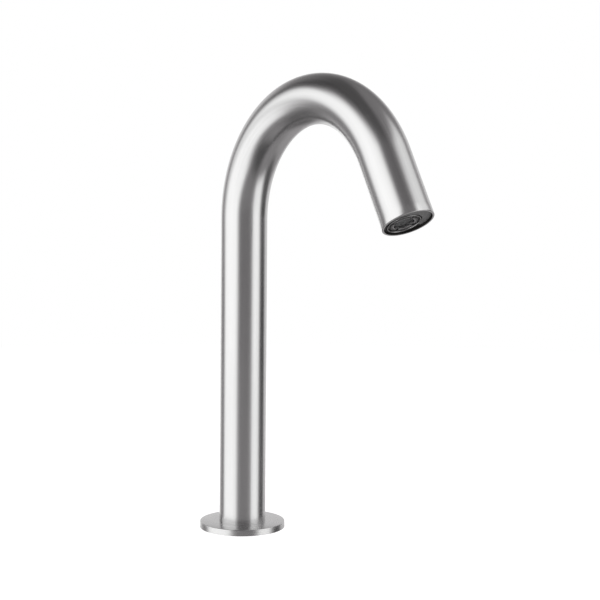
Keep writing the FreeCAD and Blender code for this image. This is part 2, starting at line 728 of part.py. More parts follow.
PIECES = [
    spout_tube(),
    base_flange(),
    washer("base_gasket", gasket_inner, gasket_outer, 0, size["gasket_thickness"]),
    threaded_shank(),
    washer("rubber_washer", washer_bore, washer_radius, steel_top, clamp_top),
    washer("steel_washer", washer_bore, washer_radius, nut_top, steel_top),
    fixing_nut(),
    inlet_plug(),
    cable_grommet(),
    bent_rod("water_pipe", water_offset, size["pipe_diameter"] / 2, size["pipe_bore"] / 2, pipe_start, pipe_tail),
    pipe_seals(),
    bent_rod("sensor_cable", cable_offset, cable_radius, None, plug_foot, cable_tail),
    nozzle_body(),
    nozzle_ring(),
    retaining_screw(),
    sensor_window(),
    sensor_housing(),
    sensor_board(),
    infrared_eye("infrared_emitter", -1),
    infrared_eye("infrared_receiver", 1),
    aerator_housing(),
    washer("aerator_gasket", aerator_radius - size["gasket_ring_width"], aerator_radius,
           aerator_pocket_floor, aerator_back, waterway),
    holed_disc("aerator_screen", cartridge_radius, screen_back, size["screen_thickness"]),
    jet_disc(),
    washer("flow_regulator", size["regulator_pin_radius"] + insert_clearance, regulator_radius,
           jet_back - size["regulator_height"], jet_back, waterway),
    holed_disc("inlet_strainer", cartridge_radius, aerator_back, size["strainer_thickness"]),
]

# ---------------------------------------------------------------- check and write
doc.recompute()
for item in doc.Objects:
    if "Invalid" in item.State or "Error" in item.State:
        raise RuntimeError("{} failed: {}".format(item.Label, item.State))

os.makedirs("parts", exist_ok=True)
for piece in PIECES:
    shape = piece.Shape
    if shape.isNull() or not shape.isValid() or not shape.Solids:
        raise RuntimeError("{} has no sound shape".format(piece.Label))
    shape.exportStep("parts/{}.step".format(piece.Label))
    box = shape.BoundBox
    print("{:18s} {} solid(s) {:10.1f} mm3  y {:7.2f} {:7.2f}  z {:7.2f} {:7.2f}".format(
        piece.Label, len(shape.Solids), shape.Volume, box.YMin, box.YMax, box.ZMin, box.ZMax))
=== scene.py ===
import math

import bpy
from mathutils import Matrix, Vector


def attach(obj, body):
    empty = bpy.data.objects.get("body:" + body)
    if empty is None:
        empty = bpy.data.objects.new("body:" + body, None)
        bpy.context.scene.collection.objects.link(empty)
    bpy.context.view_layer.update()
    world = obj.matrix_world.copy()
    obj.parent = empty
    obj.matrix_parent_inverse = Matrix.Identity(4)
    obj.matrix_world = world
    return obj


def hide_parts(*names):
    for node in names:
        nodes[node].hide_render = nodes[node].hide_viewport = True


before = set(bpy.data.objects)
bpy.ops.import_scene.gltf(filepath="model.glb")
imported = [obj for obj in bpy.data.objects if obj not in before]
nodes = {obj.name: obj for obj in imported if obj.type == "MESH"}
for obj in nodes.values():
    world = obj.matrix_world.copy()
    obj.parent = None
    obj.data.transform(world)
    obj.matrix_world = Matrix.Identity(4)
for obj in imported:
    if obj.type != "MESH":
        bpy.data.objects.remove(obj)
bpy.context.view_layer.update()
scene = bpy.context.scene
mm = 0.001
closeTo = 0.01 * mm

# the spout's sizes, in metres
spout = {
    "radius": 14.0 * mm,
    "wall": 1.2 * mm,
    "foot": 1.7 * mm,
    "rise": 187.0 * mm,
    "bendRadius": 66.5 * mm,
    "bendAngle": math.radians(152.0),
    "tail": 38.5 * mm,
    "sides": 128,
    "columnSteps": 24,
    "bendSteps": 96,
    "tailSteps": 8,
    "rimBevel": 0.3 * mm,
    "screwHole": 1.55 * mm,  # radius of the hole for the grub screw, in the inner side of the tail
    "screwBack": 18.0 * mm,  # from the outlet back to that hole
    "screwSide": 13.0 * mm,  # from the tail's axis to the middle of its cutter
    "screwReach": 6.0 * mm,
    "aeratorSide": 2.9 * mm,  # from the tail's axis to the aerator's
}
upright = Matrix.Identity(4)
outletTurn = Matrix.Rotation(spout["bendAngle"], 4, "X")
bendCentre = Vector((0, -spout["bendRadius"], spout["rise"]))
outwards = outletTurn.to_3x3() @ Vector((0, 0, 1))  # the way the water leaves
sensorSide = outletTurn.to_3x3() @ Vector((0, 1, 0))
outletCentre = bendCentre + sensorSide * spout["bendRadius"] + outwards * spout["tail"]
outletPlace = Matrix.Translation(outletCentre) @ outletTurn
aeratorPlace = outletPlace @ Matrix.Translation((0, -spout["aeratorSide"], 0))

# camera, at the photograph's angle
view = {
    "place": (-0.409667, -0.574203, 0.176622),
    "yaw": math.radians(-38.28),
    "pitch": math.radians(-3.08),
    "roll": math.radians(0.51),
    "lens": 69.86,
    "sensor": 36.0,
    "nearest": 0.01,
}


def makeCamera():
    camera = bpy.data.objects.new("camera", bpy.data.cameras.new("camera"))
    scene.collection.objects.link(camera)
    camera.data.sensor_width = view["sensor"]
    camera.data.lens = view["lens"]
    camera.data.clip_start = view["nearest"]
    level = Matrix.Rotation(math.radians(90), 4, "X")
    turn = Matrix.Rotation(view["yaw"], 4, "Z") @ Matrix.Rotation(view["pitch"], 4, "X") @ level
    roll = Matrix.Rotation(view["roll"], 4, "Z")
    camera.matrix_world = Matrix.Translation(view["place"]) @ turn @ roll
    scene.camera = camera


makeCamera()
scene.view_settings.view_transform = "Standard"
print("camera set")


# a node's output, so that shader sums read as on paper
class Wire:

    def __init__(self, tree, socket):
        self.tree = tree
        self.socket = socket

    def __add__(self, other):
        return maths("ADD", self, other)

    def __radd__(self, other):
        return maths("ADD", other, self)

    def __sub__(self, other):
        return maths("SUBTRACT", self, other)

    def __rsub__(self, other):
        return maths("SUBTRACT", other, self)

    def __mul__(self, other):
        return maths("MULTIPLY", self, other)

    # 0 below low, 1 above high, with a soft step between
    def ramp(self, low, high):
        settings = {"interpolation_type": "SMOOTHSTEP"}
        return addNode(self.tree, "ShaderNodeMapRange", settings, {0: self, 1: low, 2: high, 3: 0.0, 4: 1.0})

    # 1 out to half either side of nought, fading softly beyond
    def within(self, half, soft):
        return 1 - maths("ABSOLUTE", self).ramp(half - soft, half + soft)

    # outputs of the same node, by name
    def outputs(self, *names):
        return [Wire(self.tree, self.socket.node.outputs[name]) for name in names]


# the one way a node is made: its type, its settings, then the values or wires of its sockets
def addNode(tree, kind, settings=None, inputs=None, output=0):
    made = tree.nodes.new(kind)
    for name, value in (settings or {}).items():
        setattr(made, name, value)
    for key, value in (inputs or {}).items():
        socket = made.inputs[key]
        if isinstance(value, Wire):
            tree.links.new(value.socket, socket)
        else:
            socket.default_value = value
    return Wire(tree, made.outputs[output]) if len(made.outputs) else None


# a sum of wires and numbers, at least one of them a wire
def maths(operation, *values):
    tree = next(value.tree for value in values if isinstance(value, Wire))
    return addNode(tree, "ShaderNodeMath", {"operation": operation}, dict(enumerate(values)))


def grey(value):
    return (value, value, value)


def newMaterial(name):
    material = bpy.data.materials.new(name)
    material.use_nodes = True
    material.node_tree.nodes.clear()
    return material, material.node_tree


def closeMaterial(tree, inputs):
    surface = addNode(tree, "ShaderNodeBsdfPrincipled", None, inputs)
    addNode(tree, "ShaderNodeOutputMaterial", None, {"Surface": surface})


def objectPoint(tree):
    return addNode(tree, "ShaderNodeTexCoord", output="Object")


def axes(vector):
    return addNode(vector.tree, "ShaderNodeSeparateXYZ", None, {0: vector}).outputs("X", "Y", "Z")


def mapped(point, **inputs):
    return addNode(point.tree, "ShaderNodeMapping", None, {"Vector": point, **inputs})


def fromAxis(x, y):
    return maths("SQRT", x * x + y * y)


def noise(point, scale, detail=3.0):
    inputs = {"Vector": point, "Scale": scale, "Detail": detail, "Roughness": 0.55}
    return addNode(point.tree, "ShaderNodeTexNoise", None, inputs)


def mixColour(tree, factor, first, second):
    inputs = {0: factor}
    for key, colour in ((6, first), (7, second)):
        inputs[key] = (*colour, 1) if isinstance(colour, tuple) else colour
    return addNode(tree, "ShaderNodeMix", {"data_type": "RGBA"}, inputs, 2)


def bump(height, strength, distance=0.02 * mm):
    inputs = {"Height": height, "Strength": strength, "Distance": distance}
    return addNode(height.tree, "ShaderNodeBump", None, inputs)


# satin metal whose shade and roughness follow a fine pattern of lines and a broad cloudy one
def satinMetal(tree, lines, cloud, look):
    colour = mixColour(tree, lines * 0.7 + cloud * 0.3, look["dark"], look["light"])
    rough = look["roughness"] + (lines - 0.5) * look["spread"] + (cloud - 0.5) * look["spread"]
    return {"Base Color": colour, "Metallic": 1.0, "Roughness": rough, "Normal": bump(lines, look["bump"])}


# spout: brushed along its length
tubeLook = {
    "light": (0.66, 0.659, 0.658),
    "dark": (0.50, 0.499, 0.498),
    "bore": (0.035, 0.034, 0.033),  # painted shade: the inside is painted near-black where shade falls in it; it is also unpolished
    "shadedBoreFrom": 12.95 * mm,
    "roughness": 0.25,
    "boreRoughness": 0.6,
    "linesAcross": 1800.0,  # fine lines per metre round the tube
    "linesAlong": 12.0,
    "cloudAcross": 60.0,
    "cloudAlong": 22.0,
    "cloudShift": (0.4, 0.2, 5.0),
    "spread": 0.06,
    "bump": 0.05,
}


def makeTubeSteel():
    t = tubeLook
    material, tree = newMaterial("brushedTubeSteel")
    point = addNode(tree, "ShaderNodeAttribute", {"attribute_name": "straightened"}, output="Vector")
    x, y, z = axes(point)
    lines = noise(mapped(point, Scale=(t["linesAcross"], t["linesAcross"], t["linesAlong"])), 1.0, 2.0)
    cloudScale = (t["cloudAcross"], t["cloudAcross"], t["cloudAlong"])
    cloud = noise(mapped(point, Scale=cloudScale, Location=t["cloudShift"]), 1.0, 2.0)
    steel = satinMetal(tree, lines, cloud, t)
    # painted shade: inside the tube the colour turns near-black as shade, and the roughness rises to the
    # unpolished bore's
    bore = maths("LESS_THAN", fromAxis(x, y), t["shadedBoreFrom"])
    steel["Base Color"] = mixColour(tree, bore, steel["Base Color"], t["bore"])
    steel["Roughness"] = steel["Roughness"] + bore * (t["boreRoughness"] - t["roughness"])
    closeMaterial(tree, steel)
    return material


# turned metal: fine circular lines round the upright axis
turnedLook = {"lines": 6000.0, "wander": 25.0, "cloud": 70.0, "spread": 0.08, "bump": 0.05}


def makeTurnedMetal(name, light, dark, roughness):
    t = turnedLook
    material, tree = newMaterial(name)
    point = objectPoint(tree)
    x, y, z = axes(point)
    rings = {0: fromAxis(x, y) * t["lines"], 1: z * t["lines"], 2: x * t["wander"]}
    lines = noise(addNode(tree, "ShaderNodeCombineXYZ", None, rings), 1.0, 2.0)
    look = {**t, "light": light, "dark": dark, "roughness": roughness}
    closeMaterial(tree, satinMetal(tree, lines, noise(point, t["cloud"], 2.0), look))
    return material


# moulded or cast skin: a fine grain over slow changes of shade
speckledLook = {"cloud": 0.06, "depth": 0.03 * mm}  # the clouds' scale as a share of the grain's


def makeSpeckled(name, light, dark, roughness, metallic=0.0, scale=900.0, strength=0.12, spread=0.12,
                 shine=0.5):
    material, tree = newMaterial(name)
    point = objectPoint(tree)
    grain = noise(point, scale, 4.0)
    cloud = noise(point, scale * speckledLook["cloud"], 2.0)
    closeMaterial(tree, {
        "Base Color": mixColour(tree, grain * 0.5 + cloud * 0.5, dark, light), "Metallic": metallic,
        "Roughness": roughness + (grain - 0.5) * spread + (cloud - 0.5) * spread,
        "Specular IOR Level": shine, "Normal": bump(grain, strength, speckledLook["depth"])})
    return material


# aerator: a dark moulding whose front lip and innermost ring are plated bright
platedLook = {
    "moulding": grey(0.030),
    "grain": grey(0.045),
    "plating": grey(0.42),
    "grainScale": 900.0,
    "lipFrom": 8.3 * mm,
    "lipTo": 8.5 * mm,
    "lipBack": -1.7 * mm,
    "lipFront": -1.4 * mm,
    "ringFrom": 6.0 * mm,
    "ringTo": 6.2 * mm,
    "roughness": 0.25,
    "spread": 0.08,
    "bump": 0.03,
}


def makeAeratorSkin():
    p = platedLook
    material, tree = newMaterial("aeratorSkin")
    point = objectPoint(tree)
    inverse = aeratorPlace.inverted()
    x, y, z = axes(mapped(point, Rotation=inverse.to_euler(), Location=inverse.translation))
    radius = fromAxis(x, y)
    lip = radius.ramp(p["lipFrom"], p["lipTo"]) * z.ramp(p["lipBack"], p["lipFront"])
    plated = lip + 1 - radius.ramp(p["ringFrom"], p["ringTo"])
    grain = noise(point, p["grainScale"])
    colour = mixColour(tree, grain, p["moulding"], p["grain"])
    closeMaterial(tree, {
        "Base Color": mixColour(tree, plated, colour, p["plating"]), "Metallic": plated,
        "Roughness": p["roughness"] + grain * p["spread"], "Normal": bump(grain, p["bump"])})
    return material


# sensor board: rows of green fields between pale tracks
boardLook = {
    "fields": (0.02, 0.16, 0.06, 1),
    "otherFields": (0.02, 0.20, 0.07, 1),
    "tracks": (0.35, 0.28, 0.08, 1),
    "scale": 900.0,
    "trackWidth": 0.08,
    "grainScale": 1500.0,
    "roughness": 0.3,
    "spread": 0.15,
    "bump": 0.1,
}


def makeCircuitBoard():
    b = boardLook
    material, tree = newMaterial("circuitBoard")
    point = objectPoint(tree)
    fields = addNode(tree, "ShaderNodeTexBrick", None, {
        "Vector": mapped(point, Rotation=(-spout["bendAngle"], 0, 0)), "Scale": b["scale"],
        "Mortar Size": b["trackWidth"], "Mortar": b["tracks"],
        "Color1": b["fields"], "Color2": b["otherFields"]})
    grain = noise(point, b["grainScale"])
    closeMaterial(tree, {
        "Base Color": fields, "Roughness": b["roughness"] + grain * b["spread"],
        "Normal": bump(grain, b["bump"])})
    return material


# every finish: where two shades are given, the light one comes first
finishes = {
    "tubeSteel": makeTubeSteel(),
    "flangeSteel": makeTurnedMetal("turnedFlangeSteel", (0.60, 0.599, 0.598), (0.53, 0.529, 0.528), 0.27),
    "zincSteel": makeTurnedMetal("zincSteel", (0.66, 0.67, 0.68), (0.55, 0.57, 0.60), 0.36),
    "brass": makeTurnedMetal("turnedBrass", (0.72, 0.54, 0.27), (0.60, 0.43, 0.20), 0.30),
    "aeratorRing": makeAeratorSkin(),
    "screwSteel": makeSpeckled("screwSteel", grey(0.55), grey(0.42), 0.32, 1.0),
    "meshSteel": makeSpeckled("meshSteel", grey(0.17), grey(0.12), 0.42, 0.4, scale=2500.0),
    "rubber": makeSpeckled("blackRubber", grey(0.035), grey(0.018), 0.72, strength=0.25),
    "blackPlastic": makeSpeckled("blackPlastic", grey(0.030), grey(0.016), 0.48),
    "palePlastic": makeSpeckled("palePlastic", (0.70, 0.72, 0.74), (0.62, 0.64, 0.66), 0.42),
    "window": makeSpeckled(
        "sensorWindow", grey(0.150), grey(0.138), 0.45, scale=260.0, strength=0.02, spread=0.04, shine=0.15),
    "eye": makeSpeckled(
        "tintedResin", (0.05, 0.03, 0.08), (0.03, 0.02, 0.05), 0.12, scale=500.0, strength=0.03),
    "pipe": makeSpeckled("milkyPipe", (0.80, 0.80, 0.77), (0.72, 0.72, 0.69), 0.38, scale=400.0),
    "cable": makeSpeckled("cableJacket", grey(0.05), grey(0.03), 0.55, scale=700.0),
    "board": makeCircuitBoard(),
}
print("finishes made")


def dress(piece, finish):
    piece.data.materials.clear()
    piece.data.materials.append(finishes[finish])


# leave edit mode and select one piece, or nothing
def pick(piece=None):
    if bpy.context.object and bpy.context.object.mode != "OBJECT":
        bpy.ops.object.mode_set(mode="OBJECT")
    bpy.ops.object.select_all(action="DESELECT")
    bpy.context.view_layer.objects.active = piece
    if piece:
        piece.select_set(True)


# edit mode with what is selected already
def edit(piece, element="VERT"):
    pick(piece)
    bpy.ops.object.mode_set(mode="EDIT")
    bpy.ops.mesh.select_mode(type=element)


def editAll(piece):
    edit(piece)
    bpy.ops.mesh.select_all(action="SELECT")


def leaveEdit():
    bpy.ops.object.mode_set(mode="OBJECT")


def selectNothing(mesh):
    for group in (mesh.vertices, mesh.edges, mesh.polygons):
        group.foreach_set("select", [False] * len(group))


# bevel the edges whose two ends both pass the test
def bevelWhere(piece, test, width, segments):
    mesh = piece.data
    selectNothing(mesh)
    for edge in mesh.edges:
        ends = [mesh.vertices[end] for end in edge.vertices]
        if all(test(end.co) for end in ends):
            edge.select = True
            for end in ends:
                end.select = True
    edit(piece, "EDGE")
    bpy.ops.mesh.bevel(offset=width, segments=segments, affect="EDGES")
    leaveEdit()


def deleteWhere(piece, test):
    selectNothing(piece.data)
    for vertex in piece.data.vertices:
        vertex.select = test(vertex.co)
    edit(piece)
    bpy.ops.mesh.delete(type="VERT")
    leaveEdit()


def extrude(step, times=1):
    for repeat in range(times):
        bpy.ops.mesh.extrude_region_move(TRANSFORM_OT_translate={"value": step})


# a new piece, in edit mode: a line of edges drawn step by step from its start, all selected
def drawLine(start, steps):
    pick()
    bpy.ops.mesh.primitive_plane_add(size=1 * mm)
    piece = bpy.context.object
    editAll(piece)
    bpy.ops.mesh.merge(type="CENTER")
    bpy.ops.transform.translate(value=start)
    for step in steps:
        extrude(step)
    bpy.ops.mesh.select_all(action="SELECT")
    return piece


# bake the object's place into its mesh, so that the object sits at the origin
def settle(piece, name):
    piece.name = name
    piece.data.name = name
    pick(piece)
    bpy.ops.object.transform_apply(location=True, rotation=True, scale=True)


def join(piece, other):
    pick(piece)
    other.select_set(True)
    bpy.ops.object.join()


def applyAll(piece):
    pick(piece)
    for modifier in list(piece.modifiers):
        bpy.ops.object.modifier_apply(modifier=modifier.name)


# cut the piece with the primitive that was added last, set at its place
def cutAt(piece, place):
    cutter = bpy.context.object
    cutter.matrix_world = place
    bpy.context.view_layer.update()
    modifier = piece.modifiers.new("cut", "BOOLEAN")
    modifier.operation = "DIFFERENCE"
    modifier.solver = "EXACT"
    modifier.object = cutter
    applyAll(piece)
    bpy.data.objects.remove(cutter)


def breakEdges(piece, width):
    modifier = piece.modifiers.new("edges", "BEVEL")
    modifier.width = width
    modifier.segments = 2
    modifier.limit_method = "ANGLE"
    modifier.angle_limit = math.radians(40)
    applyAll(piece)


# shade the piece smooth, apart from edges sharper than this many degrees
def smooth(piece, angle=35):
    pick(piece)
    bpy.ops.object.shade_smooth_by_angle(angle=math.radians(angle))


def mergePoints():
    bpy.ops.mesh.remove_doubles(threshold=0.002 * mm)


def tidyMesh(piece):
    editAll(piece)
    mergePoints()
    bpy.ops.mesh.normals_make_consistent(inside=False)
    leaveEdit()


# spin a closed profile of radius and height, in millimetres, round the Z axis of its place
def lathe(name, profile, place=upright, steps=96):
    corners = [Vector((radius * mm, 0, height * mm)) for radius, height in profile + profile[:1]]
    piece = drawLine(corners[0], [there - here for here, there in zip(corners, corners[1:])])
    bpy.ops.mesh.spin(steps=steps, angle=2 * math.pi, center=(0, 0, 0), axis=(0, 0, 1))
    tidyMesh(piece)
    piece.matrix_world = place
    settle(piece, name)
    return piece


# a merged copy of a node, with its sharp edges broken
def refine(node, bevel):
    copy = nodes[node].copy()
    copy.data = nodes[node].data.copy()
    for key in list(copy.keys()):
        del copy[key]
    copy.parent = None
    scene.collection.objects.link(copy)
    settle(copy, node + ".fine")
    tidyMesh(copy)
    editAll(copy)
    bpy.ops.mesh.dissolve_limited(angle_limit=math.radians(0.5))
    leaveEdit()
    if bevel:
        breakEdges(copy, bevel)
    smooth(copy)
    return copy


# give a piece its finish and let it stand for its node
def stand(piece, finish, node, body="root"):
    dress(piece, finish)
    dress(nodes[node], finish)
    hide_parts(node)
    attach(piece, body)


# where a point of the bent tube lies once the tube is unrolled straight along Z
def straightened(point):
    if point.z < spout["rise"] and point.y > -spout["bendRadius"]:
        return Vector(point)
    arm = point - bendCentre
    angle = min(math.atan2(arm.z, arm.y) % (2 * math.pi), spout["bendAngle"])
    back = Matrix.Rotation(-angle, 3, "X") @ arm
    unrolled = spout["bendRadius"] * angle
    return Vector((point.x, back.y - spout["bendRadius"], spout["rise"] + unrolled + back.z))


# the finish of the tube is drawn in these coordinates
def addStraightened(piece):
    layer = piece.data.attributes.new("straightened", "FLOAT_VECTOR", "POINT")
    for vertex, entry in zip(piece.data.vertices, layer.data):
        entry.vector = straightened(vertex.co)


# spout tube: a circle drawn up the column, round the bend and down the tail, then given its wall
def makeSpoutTube():
    pick()
    bpy.ops.mesh.primitive_circle_add(
        vertices=spout["sides"], radius=spout["radius"], location=(0, 0, spout["foot"]))
    tube = bpy.context.object
    settle(tube, "spout_tube.satin")
    editAll(tube)
    extrude((0, 0, (spout["rise"] - spout["foot"]) / spout["columnSteps"]), spout["columnSteps"])
    bpy.ops.mesh.spin(
        steps=spout["bendSteps"], angle=-spout["bendAngle"], center=bendCentre, axis=(1, 0, 0))
    extrude(outwards * (spout["tail"] / spout["tailSteps"]), spout["tailSteps"])
    tidyMesh(tube)
    wall = tube.modifiers.new("wall", "SOLIDIFY")
    wall.thickness = spout["wall"]
    wall.offset = -1.0
    wall.use_even_offset = False
    applyAll(tube)
    bevelWhere(tube, lambda point: abs((point - outletCentre).dot(outwards)) < closeTo, spout["rimBevel"], 3)
    pick()
    bpy.ops.mesh.primitive_cylinder_add(vertices=48, radius=spout["screwHole"], depth=spout["screwReach"])
    hole = Matrix.Translation((0, -spout["screwSide"], -spout["screwBack"]))
    cutAt(tube, outletPlace @ hole @ Matrix.Rotation(math.radians(90), 4, "X"))
    addStraightened(tube)
    smooth(tube, 30)
    return tube


stand(makeSpoutTube(), "tubeSteel", "spout_tube")
print("spout tube made")

# base flange, in millimetres, with its edge broken and its gasket groove below
flange = {
    "outer": 25.75,
    "top": 3.7,
    "seat": 14.05,
    "foot": 1.7,
    "bore": 13.15,
    "grooveIn": 19.0,
    "grooveOut": 22.5,
    "grooveTop": 1.5,
    "edge": 0.3,
    "steps": 160,
}


def makeFlange():
    f = flange
    disc = lathe("base_flange.satin", [
        (f["bore"], 0), (f["grooveIn"], 0), (f["grooveIn"], f["grooveTop"]), (f["grooveOut"], f["grooveTop"]),
        (f["grooveOut"], 0), (f["outer"], 0), (f["outer"], f["top"]), (f["seat"], f["top"]),
        (f["seat"], f["foot"]), (f["bore"], f["foot"])], steps=f["steps"])

    def onTopEdge(point):
        return point.xy.length > f["grooveOut"] * mm and abs(point.z - f["top"] * mm) < closeTo

    bevelWhere(disc, onTopEdge, f["edge"] * mm, 4)
    smooth(disc, 30)
    return disc


stand(makeFlange(), "flangeSteel", "base_flange")
print("flange made")

# aerator ring with its key slots and thread, in millimetres, in the outlet's own frame
aerator = {
    "outer": 9.2,
    "front": -0.9,
    "back": -9.9,
    "lip": 8.6,
    "lipRound": 0.25,
    "grooveFloor": -2.1,
    "ring": 7.3,
    "ringFront": -1.2,
    "ringBore": 5.6,
    "screenFront": -2.7,
    "bore": 8.1,
    "slotLength": 15.2,
    "slotWidth": 2.0,
    "slotDepth": 0.7,
    "threadPitch": 1.0,
    "threadDepth": 0.35,
    "threadFront": -2.4,
    "threadTurn": (0.25, 0.6, 0.95),  # heights at which each groove starts, is deepest and ends
    "edge": 0.05,
    "steps": 128,
}


def makeAeratorHousing():
    a = aerator
    outer, lip, front, soft = a["outer"], a["lip"], a["front"], a["lipRound"]
    profile = [(a["ringBore"], a["screenFront"]), (a["bore"], a["screenFront"]), (a["bore"], a["back"]),
               (outer, a["back"])]
    start, deepest, end = a["threadTurn"]
    for turn in range(int((a["threadFront"] - a["back"]) / a["threadPitch"])):
        low = a["back"] + turn * a["threadPitch"]
        profile += [(outer, low + start), (outer - a["threadDepth"], low + deepest), (outer, low + end)]
    eased = 0.3 * soft
    profile += [
        (outer, front - soft), (outer - eased, front - eased), (outer - soft, front),
        (lip + soft, front), (lip + eased, front - eased), (lip, front - soft), (lip, a["grooveFloor"]),
        (a["ring"], a["grooveFloor"]), (a["ring"], a["ringFront"]), (a["ringBore"], a["ringFront"])]
    ring = lathe("aerator_housing.ring", profile, aeratorPlace, a["steps"])
    slot = Matrix.Diagonal((a["slotLength"] * mm, a["slotWidth"] * mm, 2 * a["slotDepth"] * mm, 1))
    for angle in (0, 90):
        pick()
        bpy.ops.mesh.primitive_cube_add(size=1)
        turned = Matrix.Rotation(math.radians(angle), 4, "Z") @ slot
        cutAt(ring, aeratorPlace @ Matrix.Translation((0, 0, a["ringFront"] * mm)) @ turned)
    breakEdges(ring, a["edge"] * mm)
    smooth(ring, 50)
    return ring


stand(makeAeratorHousing(), "aeratorRing", "aerator_housing", "aerator")
print("aerator ring made")

# outlet screen, in millimetres: a rim and a square wire mesh that waves over and under
screen = {
    "outer": 8.05,
    "rimIn": 5.45,
    "low": -3.2,
    "high": -2.7,
    "pitch": 0.42,
    "wire": 0.13,
    "wave": 0.04,
    "steps": 64,
}


def makeScreen():
    s = screen
    rim = lathe("aerator_screen.mesh", [
        (s["rimIn"], s["low"]), (s["outer"], s["low"]), (s["outer"], s["high"]), (s["rimIn"], s["high"])],
        aeratorPlace, s["steps"])
    count = int(2 * s["outer"] / s["pitch"])
    pitch = s["pitch"] * mm
    pick()
    bpy.ops.mesh.primitive_grid_add(x_subdivisions=count, y_subdivisions=count, size=count * pitch)
    weave = bpy.context.object
    for vertex in weave.data.vertices:
        crossing = round(vertex.co.x / pitch) + round(vertex.co.y / pitch)
        vertex.co.z = s["wave"] * mm * (1 if crossing % 2 else -1)
    deleteWhere(weave, lambda point: point.xy.length > s["rimIn"] * mm + pitch)
    wires = weave.modifiers.new("wires", "WIREFRAME")
    wires.thickness = s["wire"] * mm
    wires.use_even_offset = False
    applyAll(weave)
    weave.matrix_world = aeratorPlace @ Matrix.Translation((0, 0, (s["low"] + s["high"]) / 2 * mm))
    settle(weave, "weave")
    join(rim, weave)
    smooth(rim)
    return rim


stand(makeScreen(), "meshSteel", "aerator_screen", "aerator")
print("screen made")

# threaded shank, in millimetres, one real helix
shank = {
    "major": 13.0,
    "depth": 0.92,
    "pitch": 1.5,
    "bore": 10.8,
    "low": -55.0,
    "high": 1.7,
    "sleeve": 12.75,
    "sleeveTop": 21.7,
    "stepsPerTurn": 72,
    "over": 2.0,  # the bore's cutter reaches this far past both ends
    # one turn of the thread, in steps of its depth and its pitch: crest, flank, root, flank
    "turn": ((0, 0.125), (-1, 0.375), (0, 0.125), (1, 0.375)),
}


# a threaded rod: one turn's profile is screwed upwards past both ends, which are then cut square
def makeThread(name, rod):
    start = (rod["major"] * mm, 0, (rod["low"] - 1.5 * rod["pitch"]) * mm)
    thread = drawLine(start, [
        (across * rod["depth"] * mm, 0, up * rod["pitch"] * mm) for across, up in rod["turn"]])
    leaveEdit()
    turn = thread.modifiers.new("thread", "SCREW")
    turn.axis = "Z"
    turn.angle = 2 * math.pi
    turn.screw_offset = rod["pitch"] * mm
    turn.iterations = int((rod["high"] - rod["low"]) / rod["pitch"]) + 3
    turn.steps = rod["stepsPerTurn"]
    turn.render_steps = rod["stepsPerTurn"]
    turn.use_merge_vertices = False
    applyAll(thread)
    settle(thread, name)
    editAll(thread)
    mergePoints()
    for height, upper in ((rod["low"], False), (rod["high"], True)):
        bpy.ops.mesh.select_all(action="SELECT")
        bpy.ops.mesh.bisect(plane_co=(0, 0, height * mm), plane_no=(0, 0, 1), use_fill=True,
                            clear_inner=not upper, clear_outer=upper)
    bpy.ops.mesh.select_all(action="SELECT")
    bpy.ops.mesh.normals_make_consistent(inside=False)
    leaveEdit()
    return thread


def makeShank():
    s = shank
    rod = makeThread("threaded_shank.thread", s)
    length = s["high"] - s["low"] + 2 * s["over"]
    pick()
    bpy.ops.mesh.primitive_cylinder_add(vertices=96, radius=s["bore"] * mm, depth=length * mm)
    cutAt(rod, Matrix.Translation((0, 0, (s["high"] + s["low"]) / 2 * mm)))
    sleeve = lathe("sleeve", [
        (s["bore"], s["high"]), (s["sleeve"], s["high"]), (s["sleeve"], s["sleeveTop"]),
        (s["bore"], s["sleeveTop"])])
    join(rod, sleeve)
    smooth(rod, 28)
    return rod


stand(makeShank(), "brass", "threaded_shank")
print("shank made")

# machined and moulded pieces whose shape is already right, and how far their edges are broken, in millimetres
refined = {
    "fixing_nut": ("brass", 0.25, "nut"),
    "steel_washer": ("zincSteel", 0.2, "clamp"),
    "rubber_washer": ("rubber", 0.4, "clamp"),
    "inlet_plug": ("brass", 0.2, "root"),
    "retaining_screw": ("screwSteel", 0.08, "root"),
    "sensor_window": ("window", 0.1, "root"),
    "nozzle_body": ("blackPlastic", 0.0, "root"),
}
for node, (finish, bevel, body) in refined.items():
    stand(refine(node, bevel * mm), finish, node, body)

# pieces that stay as they come
plain = {
    "base_gasket": "rubber",
    "cable_grommet": "rubber",
    "water_pipe": "pipe",
    "pipe_seals": "rubber",
    "sensor_cable": "cable",
    "nozzle_ring": "rubber",
    "sensor_housing": "blackPlastic",
    "sensor_board": "board",
    "infrared_emitter": "eye",
    "infrared_receiver": "eye",
    "aerator_gasket": "rubber",
    "jet_disc": "palePlastic",
    "flow_regulator": "rubber",
    "inlet_strainer": "palePlastic",
}
for node, finish in plain.items():
    dress(nodes[node], finish)
print("other pieces finished")

# floor: open where the shank passes, clear from below and nearly unseen by the metal, so that what the tap
# mirrors comes from the world's soft boxes
ground = {
    "radius": 1.2,
    "hole": 16.0 * mm,
    "shade": grey(0.84),
    "patch": grey(0.87),
    "patchScale": 3.0,
    "glow": 0.45,
    "unseenByMetal": 0.9,
}


